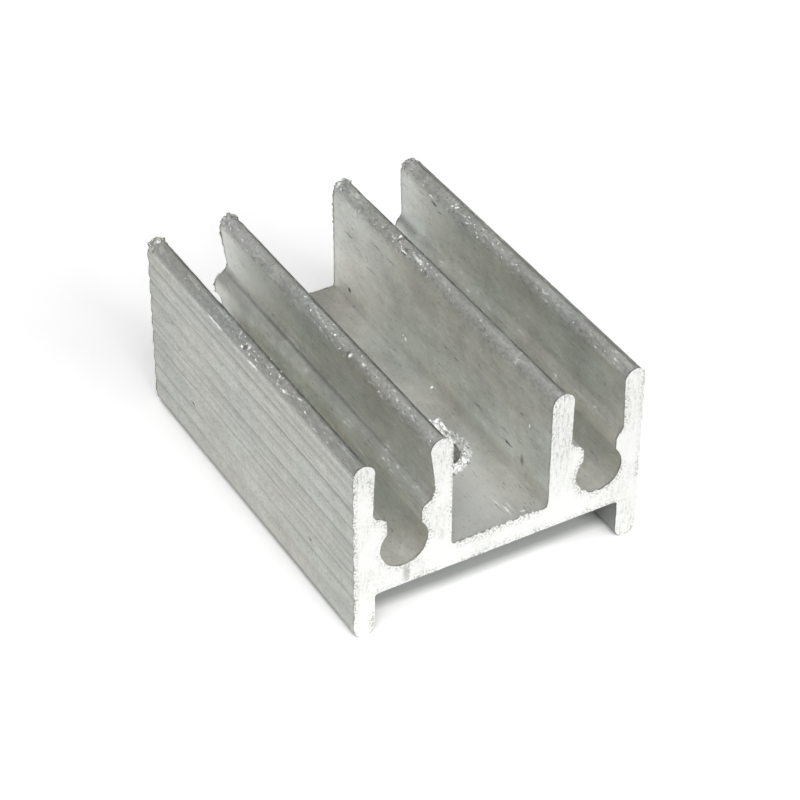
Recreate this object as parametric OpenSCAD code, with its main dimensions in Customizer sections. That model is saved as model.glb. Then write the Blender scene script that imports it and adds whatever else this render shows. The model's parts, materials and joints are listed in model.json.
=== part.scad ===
// Extruded aluminium heat sink for one bolted power transistor.
// One profile: a web on two feet, four fins above it, and a screw groove in
// each side channel. The profile is sawn to length and drilled for one screw.
// X runs across the profile, Y along the extrusion and Z up from the feet.
// The origin is under the middle of the piece, level with the feet.

/* [Overall] */
// Width across the ribbed outer faces
body_w = 15; // [14:0.5:24]
// Height from the bottoms of the feet to the fin tips
body_h = 9.7; // [9:0.1:16]
// Length of the sawn piece
body_l = 20; // [10:1:60]

/* [Walls] */
// Thickness of the web between the feet and the fins
web_t = 1.2; // [0.9:0.05:1.5]
// Height of the web's underside above the bottoms of the feet
foot_h = 2.25; // [1.5:0.05:2.5]
// Thickness of the outer fins and of the feet below them
outer_t = 1.05; // [0.95:0.05:1.3]
// Thickness of the inner fins
inner_t = 1.1; // [1:0.05:1.3]
// Clear width of the middle channel between the inner fins
channel_w = 5.15; // [4:0.05:5.3]
// Offset of the middle channel towards +X, as the die leaves it
channel_shift = 0.04; // [-0.1:0.02:0.1]
// Fillet where the web meets the inner fins and the feet
corner_r = 0.2; // [0.1:0.05:0.4]

/* [Screw grooves] */
// Radius of the round groove that a screw cuts its thread in
groove_r = 1.25; // [1.1:0.05:1.3]
// Metal left under each groove
groove_floor = 1.08; // [0.8:0.02:1.4]
// Offset of each groove towards +X from the middle of its channel, left and right
groove_shift = [0.1, 0.2]; // [-0.2:0.05:0.3]
// Clear width of the neck between the two lobes above a groove
neck_w = 1.8; // [1.6:0.1:2]
// Radius of the lobes
lobe_r = 0.6; // [0.5:0.05:0.7]
// Height of the straight stretch in the face of a lobe
lobe_flat = 0.3; // [0.1:0.05:0.6]
// Depth that the groove bites into each lobe
lobe_bite = 0.05; // [0.02:0.01:0.1]
// Radius of the hollow that blends a lobe into the fin above it
shoulder_r = 0.5; // [0.3:0.05:0.6]
// Thinning of each fin just above its lobe, from left to right
waist = [0.1, 0.3, 0.02, 0.08]; // [0.02:0.01:0.3]

/* [Ribs] */
// Distance between the rounded ribs on the outer faces
rib_pitch = 1; // [0.8:0.05:1.5]
// Height of the ribs above the valleys between them
rib_h = 0.06; // [0.05:0.01:0.15]
// Height of the middle of the lowest whole rib
rib_z = 0.83; // [0.6:0.01:1]

/* [Screw hole] */
// Tapping diameter of the hole through the web
hole_d = 2.5; // [2:0.1:4]
// Distance from the front end to the middle of the hole
hole_inset = 6; // [4:0.5:8]

/* [Hidden] */
$fn = 96;
overlap = 0.02;

web_top = foot_h + web_t;
outer_face = body_w / 2 - outer_t;

groove_z = foot_h + groove_floor + groove_r;
// The lobes stand either side of the groove, just touching its circle.
lobe_dx = neck_w / 2 + lobe_r;
lobe_reach = groove_r + lobe_r - lobe_bite;
lobe_z = groove_z + sqrt(pow(lobe_reach, 2) - pow(lobe_dx, 2));
lobe_top_z = lobe_z + lobe_flat;
// The bed that the groove is cut in ends inside the lobes.
bed_top = groove_z + (lobe_z - groove_z) * groove_r / lobe_reach;

// A rib is an arc through the two valleys beside it.
rib_r = (pow(rib_pitch / 2, 2) + pow(rib_h, 2)) / (2 * rib_h);

// Fin cross-section with a fully rounded tip; the inner edge is at x.
module fin_section(x, thickness, base_z) {
    tip_r = thickness / 2;
    translate([x, base_z])
        square([thickness, body_h - tip_r - base_z]);
    translate([x + tip_r, body_h - tip_r])
        circle(tip_r);
}

// Outer fin and foot in one, rounded at both ends, with ribs on its outside.
module outer_section() {
    intersection() {
        union() {
            fin_section(outer_face, outer_t, outer_t / 2);
            translate([outer_face + outer_t / 2, outer_t / 2])
                circle(outer_t / 2);
        }
        union() {
            translate([outer_face - overlap, -overlap])
                square([outer_t - rib_h, body_h + 2 * overlap]);
            for (z = [rib_z - rib_pitch : rib_pitch : body_h + rib_pitch])
                translate([body_w / 2 - rib_r, z])
                    circle(rib_r);
        }
    }
}

// What a fin loses above its lobe: a long wedge off the face at x = 0.
module waist_cut(thickness, depth, shoulder_z) {
    polygon([
        [0, body_h - thickness / 2],
        [overlap, body_h - thickness / 2],
        [overlap, lobe_z],
        [-depth, lobe_z],
        [-depth, shoulder_z]
    ]);
}

// Height at which the shoulder's hollow runs out into the fin.
function shoulder_top(lobe_x, depth) =
    lobe_top_z + sqrt(pow(lobe_r + shoulder_r, 2) - pow(shoulder_r - depth - lobe_x, 2));

// Lobe and shoulder on the face at x = 0; the channel is on the +X side.
module lobe(thickness, lobe_x, depth) {
    shoulder_z = shoulder_top(lobe_x, depth);
    shoulder_x = shoulder_r - depth;
    for (z = [lobe_z, lobe_top_z])
        translate([lobe_x, z])
            circle(lobe_r);
    translate([lobe_x - lobe_r, lobe_z])
        square([2 * lobe_r, lobe_flat]);
    difference() {
        polygon([
            [-thickness / 2, lobe_top_z],
            [lobe_x, lobe_top_z],
            [shoulder_x, shoulder_z],
            [-thickness / 2, shoulder_z]
        ]);
        translate([shoulder_x, shoulder_z])
            circle(shoulder_r);
    }
}

// Quarter fillet in the corner at the origin, on the +X +Z side.
module corner_fillet() {
    difference() {
        square(corner_r);
        translate([corner_r, corner_r])
            circle(corner_r);
    }
}

// Everything on one side of the middle channel's face, except the web.
module half_section(channel_face, shift, inner_waist, outer_waist) {
    inner_face = channel_face + inner_t;
    groove_x = (inner_face + outer_face) / 2 + shift;
    inner_lobe = groove_x - lobe_dx - inner_face;
    outer_lobe = outer_face - groove_x - lobe_dx;
    difference() {
        union() {
            difference() {
                fin_section(channel_face, inner_t, foot_h);
                translate([inner_face, 0])
                    waist_cut(inner_t, inner_waist, shoulder_top(inner_lobe, inner_waist));
            }
            difference() {
                outer_section();
                translate([outer_face, 0])
                    mirror([1, 0])
                        waist_cut(outer_t, outer_waist, shoulder_top(outer_lobe, outer_waist));
            }
            translate([inner_face, 0])
                lobe(inner_t, inner_lobe, inner_waist);
            translate([outer_face, 0])
                mirror([1, 0])
                    lobe(outer_t, outer_lobe, outer_waist);
            translate([inner_face - inner_t / 2, foot_h])
                square([outer_face - inner_face + (inner_t + outer_t) / 2, bed_top - foot_h]);
        }
        translate([groove_x, groove_z])
            circle(groove_r);
    }
    translate([channel_face, web_top])
        mirror([1, 0])
            corner_fillet();
    translate([outer_face, foot_h])
        rotate(180)
            corner_fillet();
}

// The die's opening: X across, Y (in the sketch) up from the feet.
module profile() {
    left_face = channel_w / 2 - channel_shift;
    right_face = channel_w / 2 + channel_shift;
    translate([-left_face - inner_t, foot_h])
        square([channel_w + 2 * inner_t, web_t]);
    mirror([1, 0])
        half_section(left_face, -groove_shift[0], waist[1], waist[0]);
    half_section(right_face, groove_shift[1], waist[2], waist[3]);
}

module heat_sink() {
    color([0.72, 0.73, 0.70])
        difference() {
            translate([0, body_l / 2, 0])
                rotate([90, 0, 0])
                    linear_extrude(body_l)
                        profile();
            translate([0, hole_inset - body_l / 2, foot_h - overlap])
                cylinder(d = hole_d, h = web_t + 2 * overlap);
        }
}

heat_sink();
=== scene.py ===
import json
import math

import bmesh
import bpy
import numpy as np
from mathutils import Matrix, Vector, geometry, noise


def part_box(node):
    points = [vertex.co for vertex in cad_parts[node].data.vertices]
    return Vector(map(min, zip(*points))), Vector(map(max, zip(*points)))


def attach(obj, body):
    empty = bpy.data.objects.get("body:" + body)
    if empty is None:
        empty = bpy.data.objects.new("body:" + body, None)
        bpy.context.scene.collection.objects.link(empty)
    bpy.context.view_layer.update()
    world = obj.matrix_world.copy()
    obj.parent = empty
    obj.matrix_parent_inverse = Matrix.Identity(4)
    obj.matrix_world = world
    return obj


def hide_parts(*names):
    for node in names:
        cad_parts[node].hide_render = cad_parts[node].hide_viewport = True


# Sizes and places are in mm in the part's frame, unless they say otherwise: X across the profile,
# Y along the extrusion with the sawn front at -Y, and Z up from the feet. Angles are in degrees.

# ---------------------------------------------------------------- frame ----
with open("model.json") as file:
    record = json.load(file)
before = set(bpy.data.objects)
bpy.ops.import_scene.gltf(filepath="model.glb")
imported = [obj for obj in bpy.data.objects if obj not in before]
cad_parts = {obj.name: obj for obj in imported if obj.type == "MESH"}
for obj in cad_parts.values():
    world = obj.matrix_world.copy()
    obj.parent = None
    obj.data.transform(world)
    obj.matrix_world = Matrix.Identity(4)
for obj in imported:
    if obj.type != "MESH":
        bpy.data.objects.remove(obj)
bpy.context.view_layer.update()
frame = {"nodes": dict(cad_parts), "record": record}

NODE = "heat_sink"
MM = 0.001             # m
SEED = 11

low, high = (np.array(corner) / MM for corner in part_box(NODE))
length = high[1] - low[1]
height = high[2]
hole_mount = next(m for m in frame["record"]["mounts"] if m["name"] == "screw_hole")
hole = np.array(hole_mount["pos_m"]) / MM
tap_r = hole_mount["dims"]["r_mm"]
web_t = hole_mount["dims"]["length_mm"]
web_low = hole[2]
web_top = web_low + web_t

rng = np.random.default_rng(SEED)


def fractal(x, y, z, octaves=3, offset=0.0):
    """Smooth noise from about -1 to 1 at a point given in any unit."""
    return noise.fractal(Vector((x + offset, y - offset, z + 2 * offset)), 1.0, 2.0, octaves)


# -------------------------------------------------------------- outline ----
SPACING = 0.13         # between points
TIP_SPACING = 0.075    # over the knocked fin tips
TIP_ZONE = 0.6         # how far down the fins that spacing goes
FRINGE_SPACING = 0.055 # along the channel floor
CHANNEL_REACH = 3.0    # from the middle, past the channel's walls
LEVEL_SLACK = 0.05     # this near a floor's height is on it
CORNER = 20            # a sharper turn than this stays a corner
LONG_SIDE = 0.25       # a longer side is a straight one
SAME_PLACE = 1e-7      # m


def end_outline(node):
    """The CAD section's outline as (x, z) points, anticlockwise."""
    bm = bmesh.new()
    bm.from_mesh(frame["nodes"][node].data)
    bmesh.ops.remove_doubles(bm, verts=bm.verts, dist=SAME_PLACE)
    front = min(v.co.y for v in bm.verts)
    cap = [f for f in bm.faces if all(abs(v.co.y - front) < SAME_PLACE for v in f.verts)]
    in_cap = set(cap)
    following = {}
    for face in cap:
        for loop in face.loops:
            if sum(other in in_cap for other in loop.edge.link_faces) == 1:
                following[loop.vert] = loop.link_loop_next.vert
    start = next(iter(following))
    points = []
    vert = start
    while True:
        points.append((vert.co.x / MM, vert.co.z / MM))
        vert = following[vert]
        if vert == start:
            break
    bm.free()
    points = np.array(points)
    after = np.roll(points, -1, axis=0)
    area = np.sum(points[:, 0] * after[:, 1] - after[:, 0] * points[:, 1]) / 2
    return points if area > 0 else points[::-1]


def unit(vectors):
    """The vectors at a length of 1."""
    return vectors / np.linalg.norm(vectors, axis=-1, keepdims=True)


def corner_turns(before, after):
    """The signed turn in radians between each pair of directions; left is positive."""
    return np.arctan2(before[:, 0] * after[:, 1] - before[:, 1] * after[:, 0], np.sum(before * after, axis=1))


def spacing_at(place):
    """How far apart the outline's points are near (x, z)."""
    if place[1] > height - TIP_ZONE:
        return TIP_SPACING
    if abs(place[1] - web_top) < LEVEL_SLACK and abs(place[0]) < CHANNEL_REACH:
        return FRINGE_SPACING
    return SPACING


def smooth_outline(points):
    """Adds points along curved sides with Hermite arcs, and along straight ones evenly."""
    sides = np.roll(points, -1, axis=0) - points
    lengths = np.linalg.norm(sides, axis=1)
    ways = sides / lengths[:, None]
    turns = corner_turns(np.roll(ways, 1, axis=0), ways)
    count = len(points)

    def tangent(corner, side):
        if abs(turns[corner]) > math.radians(CORNER):
            return ways[side]
        neighbours = [(corner - 1) % count, corner]
        longest = max(neighbours, key=lambda k: lengths[k])
        if lengths[longest] > LONG_SIDE:
            return ways[longest]
        return unit(ways[neighbours[0]] + ways[neighbours[1]])

    result = []
    for i in range(count):
        j = (i + 1) % count
        start_way = tangent(i, i) * lengths[i]
        end_way = tangent(j, i) * lengths[i]
        steps = max(1, round(lengths[i] / spacing_at((points[i] + points[j]) / 2)))
        for k in range(steps):
            t = k / steps
            h = (2 * t**3 - 3 * t**2 + 1, t**3 - 2 * t**2 + t, 3 * t**2 - 2 * t**3, t**3 - t**2)
            result.append(h[0] * points[i] + h[1] * start_way + h[2] * points[j] + h[3] * end_way)
    return np.array(result)


def outline_normals(points):
    """Outward unit normals of an anticlockwise outline."""
    along = unit(np.roll(points, -1, axis=0) - points) + unit(points - np.roll(points, 1, axis=0))
    along = unit(along)
    return np.stack([along[:, 1], -along[:, 0]], axis=1)


# ---------------------------------------------------- wear on the faces ----
TIP_SLACK = 0.002      # below the top, what still counts as a tip
FIN_GAP = 1.0          # tips further apart belong to different fins
SWELL = 0.006          # height of the long waves in every face
SWELL_PACE = (0.9, 0.12, 0.9)   # waves per mm along X, Y and Z

# Knocks are drawn from these ranges.
TIP_KNOCKS = 34        # on each fin's tip
TIP_KNOCK_OFFSET = (0.1, 0.45)   # sideways from the tip's middle
TIP_KNOCK_DROP = (0, 0.3)        # below the top
TIP_KNOCK_RADII = ((0.08, 0.2), (0.12, 0.6), (0.08, 0.2))
TIP_KNOCK_DEPTH = (0.015, 0.05)
SIDE_KNOCKS = 30       # on the two outer faces together
SIDE_KNOCK_RADII = ((0.15, 0.5), (0.06, 0.12))   # along Y and Z
SIDE_KNOCK_DEPTH = (0.01, 0.03)
SIDE_DEPTH = 0.2       # how deep into a side its dents reach
SIDE_FOOT = 0.8        # height without knocks at the foot of a side
SIDE_TOP = 1           # and at its top
SIDE_PITS = ((5.84, 2.6), (-5.9, 2.83))   # (y, z) of two pits low in the left face
PIT_RADII = (SIDE_DEPTH, 0.22, 0.13)
PIT_DEPTH = 0.08

WORN_BACK = 0.11       # off the right side of each tip, behind the sawn front
WORN_HEIGHT = 1.4      # how far down the fins that goes
WORN_FROM = 0.05       # behind the front end
WORN_FULLY = 0.3       # after that
TIP_HALF = 0.6         # half the width of a tip's damage
TIP_GRIT = 0.008       # height of the fine roughness of the tips
TEAR_REACH = (0.75, 0.55, 0.45, 0.3)   # from the back end into each tip, left to right
TEAR_HEIGHT = 0.24
TEAR_SINK = 0.05


def fin_tips(points):
    """The x of each fin's tip, left to right."""
    xs = np.sort(points[points[:, 1] > height - TIP_SLACK, 0])
    groups = np.split(xs, np.where(np.diff(xs) > FIN_GAP)[0] + 1)
    return [float(group.mean()) for group in groups]


def dents(tips):
    """Knocks on the fin tips and pits in the sides: (centre, radii, depth)."""
    marks = []
    for tip in tips:
        for _ in range(TIP_KNOCKS):
            side = rng.choice((-1, 1))
            x = tip + side * rng.uniform(*TIP_KNOCK_OFFSET)
            y = rng.uniform(low[1], high[1])
            z = height - rng.uniform(*TIP_KNOCK_DROP)
            radii = [rng.uniform(*reach) for reach in TIP_KNOCK_RADII]
            marks.append(((x, y, z), radii, rng.uniform(*TIP_KNOCK_DEPTH)))
    for y, z in SIDE_PITS:
        marks.append(((low[0], y, z), PIT_RADII, PIT_DEPTH))
    for _ in range(SIDE_KNOCKS):
        x = rng.choice((low[0], high[0]))
        y = rng.uniform(low[1], high[1])
        z = rng.uniform(SIDE_FOOT, height - SIDE_TOP)
        radii = [SIDE_DEPTH] + [rng.uniform(*reach) for reach in SIDE_KNOCK_RADII]
        marks.append(((x, y, z), radii, rng.uniform(*SIDE_KNOCK_DEPTH)))
    return marks


def worn_depth(x, y, z, normals):
    """How far the right side of each tip is worn back, but for the outer face."""
    right_side = np.clip((normals[None, :, 0] + 0.1) / 0.7, 0, 1) * np.clip(z - height + WORN_HEIGHT, 0, 1)
    inner_side = np.abs(x) < high[0] - 0.05
    return WORN_BACK * right_side * inner_side * np.clip((y - low[1] - WORN_FROM) / WORN_FULLY, 0, 1)


def tear_tips(shift, points, ys, tips):
    """Adds fine roughness to the tips, and the saw's tears and crumples at their back ends."""
    x, z = points[None, :, 0], points[None, :, 1]
    for index, tip in enumerate(tips):
        near_tip = np.exp(-((x - tip) / TIP_HALF)**4) * np.clip((z - height + 0.9) / 0.5, 0, 1)
        for j, i in np.argwhere(np.tile(near_tip, (len(ys), 1)) > 0.01):
            grit = fractal(points[i, 0] * 5, ys[j] * 3, points[i, 1] * 5, 3, 8.0)
            shift[j, i] += near_tip[0, i] * TIP_GRIT * grit
        near_back = np.clip(1 - (high[1] - ys[:, None]) / TEAR_REACH[index], 0, 1)**0.7
        weight = near_tip * near_back
        for j, i in np.argwhere(weight > 0.01):
            rough = fractal(points[i, 0] * 4.5, ys[j] * 5.5, points[i, 1] * 4.5, 3, 5.0 + index)
            shift[j, i] += weight[j, i] * (TEAR_HEIGHT * rough - TEAR_SINK)


def surface_shift(points, normals, ys, tips):
    """How far each grid vertex moves along its outline normal."""
    x, z = points[None, :, 0], points[None, :, 1]
    y = ys[:, None]
    pace = SWELL_PACE
    swell = [[fractal(px * pace[0], place * pace[1], pz * pace[2]) for px, pz in points] for place in ys]
    shift = SWELL * np.array(swell)
    for centre, radii, depth in dents(tips):
        away = [(place - middle) / radius for place, middle, radius in zip((x, y, z), centre, radii)]
        reach = away[0]**2 + away[1]**2 + away[2]**2
        shift -= depth * np.exp(-reach)
    shift -= worn_depth(x, y, z, normals)
    tear_tips(shift, points, ys, tips)
    return shift


# ------------------------------------------------------------- the burr ----
# Where the saw left the most burr on each end: (x, z), reach and height.
FRONT_BURRS = (
    ((-1.2, web_top), 1.0, 0.10),
    ((0.4, web_top), 0.9, 0.12),
    ((1.8, web_top), 0.7, 0.13),
    ((-3.6, 6.75), 0.45, 0.17),
    ((-5.9, 6.2), 0.4, 0.04),
    ((4.3, 3.7), 0.5, 0.16),
    ((5.0, 3.35), 0.4, 0.08),
    ((-3.7, 4.2), 0.4, 0.07),
)
BACK_BURRS = (
    ((-4.3, 6.2), 0.6, 0.12),
    ((2.7, 8.0), 1.2, 0.08),
    ((-3.7, 8.5), 1.0, 0.07),
)
RIM_PACE = 6.5         # 1/mm, how fine the burr is
FRINGE_PACE = 10.0     # 1/mm, the same along the channel floor
COARSE_PACE = 1.1      # 1/mm, how fast it comes and goes
RIM_RISE = 0.01        # the burr's height all round
RIM_RAGGED = 0.03      # what its detail adds


def rim_burr(points, burrs, offset):
    """Ragged burr along a sawn edge: how far each rim point stands out."""
    out = []
    for px, pz in points:
        coarse = fractal(px * COARSE_PACE, 0, pz * COARSE_PACE, 2, offset)
        pace = FRINGE_PACE if abs(pz - web_top) < LEVEL_SLACK else RIM_PACE
        fine = fractal(px * pace, 0, pz * pace, 3, offset)
        rise = RIM_RISE + RIM_RAGGED * max(0.0, fine) + RIM_RAGGED * max(0.0, coarse) * abs(fine)
        for (bx, bz), reach, tall in burrs:
            near = math.exp(-((px - bx)**2 + (pz - bz)**2) / reach**2)
            rise += tall * near * max(0.0, 0.35 + 1.3 * fine)
        out.append(rise)
    return np.array(out)


# ------------------------------------------------------------- the ends ----
RIM_INSET = 0.06       # from the edge to the flat of a sawn end
FOLDED = 0.35          # a side left with less of its length is folding
INSET_TRIES = 12
CAP_RISE = 0.012       # how far the flat stands past the edge
FILL_GAP = 0.3         # between the points that fill an end
FILL_CLEAR = 0.1       # from those to the edge
FILL_INSIDE = 1        # delaunay_2d_cdt's output type: the inside alone
FILL_SLACK = 1e-7
SAW_WAVE = 0.006       # height of the saw's waves in an end


def inset_outline(points, normals):
    """The outline moved inwards by RIM_INSET, by less where a tight corner would fold it."""
    depth = np.full(len(points), RIM_INSET)
    sides = np.roll(points, -1, axis=0) - points
    for _ in range(INSET_TRIES):
        inner = points - normals * depth[:, None]
        kept = np.sum((np.roll(inner, -1, axis=0) - inner) * sides, axis=1) / np.sum(sides**2, axis=1)
        folded = kept < FOLDED
        if not folded.any():
            break
        depth[folded | np.roll(folded, 1)] *= 0.6
    return points - normals * depth[:, None]


def fill_points(ring):
    """Points FILL_GAP apart inside a ring, clear of its edge."""
    inner = []
    closed = np.vstack([ring, ring[:1]])
    for px in np.arange(low[0] + FILL_GAP, high[0], FILL_GAP):
        crossing = []
        for a, b in zip(closed[:-1], closed[1:]):
            if (a[0] > px) != (b[0] > px):
                crossing.append(a[1] + (px - a[0]) * (b[1] - a[1]) / (b[0] - a[0]))
        crossing.sort()
        for z0, z1 in zip(crossing[::2], crossing[1::2]):
            steps = int((z1 - z0 - FILL_GAP) / FILL_GAP)
            inner += [(px, z0 + (z1 - z0) * (k + 1) / (steps + 1)) for k in range(steps)]
    return [p for p in inner if np.min(np.sum((ring - p)**2, axis=1)) > FILL_CLEAR**2]


def end_cap(ring, y, sign):
    """Points and triangles that fill a sawn end; the ring's own points come first."""
    count = len(ring)
    level = y + sign * CAP_RISE
    flat = [Vector(p) for p in ring] + [Vector(p) for p in fill_points(ring)]
    edges = [(k, (k + 1) % count) for k in range(count)]
    filled = geometry.delaunay_2d_cdt(flat, edges, [], FILL_INSIDE, FILL_SLACK)
    verts, faces, originals = filled[0], filled[2], filled[3]
    assert len(verts) == len(flat), "the end's outline crosses itself"
    order = [group[0] for group in originals]
    coords = [(px, level, pz) for px, pz in ring]
    for p in flat[count:]:
        wave = SAW_WAVE * fractal(p.x * 3, 0, p.y * 0.4, 2, 9.0)
        coords.append((p.x, level + sign * wave, p.y))
    return coords, [tuple(order[v] for v in face) for face in faces]


# ------------------------------------------------------------- the body ----
RING_STEP = 0.24       # between rings along the extrusion
RIM_STEPS = (0.0, 0.03, 0.08, 0.15, 0.24, 0.36, 0.5, 0.66, 0.85)   # the first rings from each end
VALLEY_TURN = 12       # a sharper turn inwards is a hollow between ribs
VALLEY_REACH = 0.065   # half the width of the painted shade line in such a hollow
RIB_ZONE = 0.5         # the ribs lie within this of an outer face
EDGE_REACH = 0.13      # how far the ragged rim reaches into a sawn end


def valley_lines(points):
    """1 at the bottom of each sharp hollow between ribs, fading to 0 beside it."""
    turns = corner_turns(points - np.roll(points, 1, axis=0), np.roll(points, -1, axis=0) - points)
    hollow = (np.abs(points[:, 0]) > high[0] - RIB_ZONE) & (turns < -math.radians(VALLEY_TURN))
    lines = np.zeros(len(points))
    for bottom in points[hollow]:
        away = np.hypot(points[:, 0] - bottom[0], points[:, 1] - bottom[1])
        lines = np.maximum(lines, np.exp(-(away / VALLEY_REACH)**2))
    return lines


def ring_places():
    """The y of each ring, close together near the ends."""
    inner = length - 2 * RIM_STEPS[-1]
    steps = round(inner / RING_STEP)
    middle = [RIM_STEPS[-1] + inner * k / steps for k in range(1, steps)]
    back = [length - s for s in reversed(RIM_STEPS)]
    return np.array(list(RIM_STEPS) + middle + back) + low[1]


def ring_faces(first, second, count):
    """Quads between two rings of points, given the number of each ring's first point."""
    quads = []
    for i in range(count):
        k = (i + 1) % count
        quads.append((first + i, second + i, second + k, first + k))
    return quads


def body_grid():
    """The outline, the closed skin's points, the faces of its sides and those of its ends."""
    points = smooth_outline(end_outline(NODE))
    normals = outline_normals(points)
    count = len(points)
    ys = ring_places()
    shift = surface_shift(points, normals, ys, fin_tips(points))
    shift[0] += rim_burr(points, FRONT_BURRS, 1.0)
    shift[-1] += rim_burr(points, BACK_BURRS, 3.0)
    coords = []
    for j, place in enumerate(ys):
        coords += [(px, place, pz) for px, pz in points + normals * shift[j][:, None]]
    side_faces = []
    for j in range(len(ys) - 1):
        side_faces += ring_faces(j * count, (j + 1) * count, count)
    end_faces = []
    inset = inset_outline(points, normals)
    for end, sign in ((0, -1), (len(ys) - 1, 1)):
        base = len(coords)
        added, tris = end_cap(inset, ys[end], sign)
        coords += added
        rim = [(a, d, c, b) for a, b, c, d in ring_faces(end * count, base, count)]
        faces = rim + [tuple(base + v for v in tri) for tri in tris]
        end_faces += faces if sign < 0 else [face[::-1] for face in faces]
    return points, coords, side_faces, end_faces


def body_mesh():
    """The whole extrusion as one closed bmesh, with material 1 on the sawn ends."""
    points, coords, side_faces, end_faces = body_grid()
    count = len(points)
    on_sides = count * len(ring_places())
    bm = bmesh.new()
    edge_layer = bm.verts.layers.float.new("near_edge")
    # Its values mark where shade is painted into the rib hollows.
    valley_layer = bm.verts.layers.float.new("valley")
    verts = [bm.verts.new(co) for co in coords]
    valleys = valley_lines(points)
    for k, vert in enumerate(verts[:on_sides]):
        vert[valley_layer] = valleys[k % count]
    for vert in verts[on_sides:]:
        away = np.min(np.hypot(points[:, 0] - vert.co.x, points[:, 1] - vert.co.z))
        vert[edge_layer] = math.exp(-(away / EDGE_REACH)**2)
    for vert in verts[:count] + verts[on_sides - count:on_sides]:
        vert[edge_layer] = 1.0
    for material_index, faces in enumerate((side_faces, end_faces)):
        for face in faces:
            bm.faces.new([verts[v] for v in face]).material_index = material_index
    return bm


# ------------------------------------------------------------- the hole ----
PITCH = 0.5            # M3 coarse
THREAD_DEPTH = 0.24
THREAD_RINGS = 44      # from the top of the thread to its bottom
THREAD_INSET = 0.02    # from the web's faces to the ends of the thread
HOLE_SIDES = 144
BURR_R = 1.92          # where the burr runs out on the web
PATCH = 2.28           # half-width of the square that the hole's rings replace
BURR_BASE = 0.1        # the burr's height between its peaks
BURR_PEAKS = ((52, 30, 0.52), (-20, 24, 0.08), (-62, 26, 0.12))   # way and spread in degrees, height
BURR_LOWEST = 0.04
SLOPE_RINGS = 7        # up the burr's outer slope
SLOPE_ROUGH = 0.13
CREST_R = 1.47
CREST_RAGGED = 0.1
CREST_RINGS = 4
LEAN = 0.55            # how far the burr leans out for each mm of its height
MOUTH_WIDER = 0.2      # past the tapped radius, just inside the crest
LOWER_MOUTH = ((0, -0.008), (0.12, -0.004), (0.3, 0))   # past the thread, above the underside


def thread_radius(angle, z):
    """The threaded bore's radius at an angle and height."""
    turn = (z / PITCH + angle / math.tau) % 1.0
    return tap_r + THREAD_DEPTH * min(1.0, 1.25 * (1 - abs(2 * turn - 1)))


def burr_rise(angle):
    """The burr's height without its ragged detail."""
    rise = BURR_BASE
    for way, spread, tall in BURR_PEAKS:
        away = (math.degrees(angle) - way + 180) % 360 - 180
        rise += tall * math.exp(-(away / spread)**2)
    return rise


def burr_height(angle):
    """The burr's height with its ragged detail."""
    ragged = fractal(math.cos(angle) * 6, math.sin(angle) * 6, 0.5, 4, 7.0)
    return max(BURR_LOWEST, burr_rise(angle) * (1 + 0.35 * ragged) + 0.06 * ragged)


def crest_r(angle):
    """The radius of the burr's inner crest."""
    return CREST_R + CREST_RAGGED * fractal(math.cos(angle) * 6, math.sin(angle) * 6, 3.0, 3, 2.0)


def lean(angle):
    """How far the burr's outer crest leans past the inner one."""
    return LEAN * (burr_rise(angle) - BURR_BASE)


def slope_point(angle, t):
    """Radius and height on the burr's outer slope, from its foot at t = 0 to its crest at 1."""
    r = BURR_R + (crest_r(angle) + lean(angle) - BURR_R) * t
    rough = SLOPE_ROUGH * t * fractal(r * math.cos(angle) * 5, r * math.sin(angle) * 5, 1.0, 3, 4.0)
    return r, web_top + burr_height(angle) * t**2 * (1.6 - 0.6 * t) + rough * min(1, 3 * t)


def crest_point(angle, t):
    """Radius and height over the crest, from its outer edge at t = 0 to its inner one at 1."""
    r = crest_r(angle) + lean(angle) * (1 - t) - 0.05 * t
    return r, web_top + burr_height(angle + 0.15 * t) * (1 - 0.06 * t)


def hole_ring(rule):
    """A ring of points round the hole, by a rule that gives radius and height at an angle."""
    ring = []
    for k in range(HOLE_SIDES):
        angle = math.tau * k / HOLE_SIDES
        r, z = rule(angle)
        ring.append((hole[0] + r * math.cos(angle), hole[1] + r * math.sin(angle), z))
    return ring


def hole_rings():
    """Rings of points from the web's top, over the burr and down the thread to its underside."""
    rings = [hole_ring(lambda a: slope_point(a, k / SLOPE_RINGS)) for k in range(SLOPE_RINGS)]
    rings += [hole_ring(lambda a: crest_point(a, k / (CREST_RINGS - 1))) for k in range(CREST_RINGS)]
    rings.append(hole_ring(lambda a: (tap_r + MOUTH_WIDER, web_top + burr_height(a) * 0.55)))
    for k in range(THREAD_RINGS + 1):
        z = web_top + THREAD_INSET - (web_t - 2 * THREAD_INSET) * k / THREAD_RINGS
        rings.append(hole_ring(lambda a: (thread_radius(a, z), z)))
    for wider, rise in LOWER_MOUTH:
        rings.append(hole_ring(lambda a: (tap_r + THREAD_DEPTH + wider, web_low + rise)))
    return rings


def open_patch(bm, level, way):
    """Deletes the square of web faces round the hole on one side; returns its border edges."""
    doomed = []
    for face in bm.faces:
        flat = all(abs(v.co.z - level) < LEVEL_SLACK for v in face.verts)
        near = all(abs(v.co.x - hole[0]) < PATCH and abs(v.co.y - hole[1]) < PATCH for v in face.verts)
        if flat and near and face.normal.z * way > 0.5:
            doomed.append(face)
    gone = set(doomed)
    border = [e for f in doomed for e in f.edges if sum(g in gone for g in e.link_faces) == 1]
    bmesh.ops.delete(bm, geom=doomed, context="FACES")
    return [e for e in border if e.is_valid]


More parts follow.
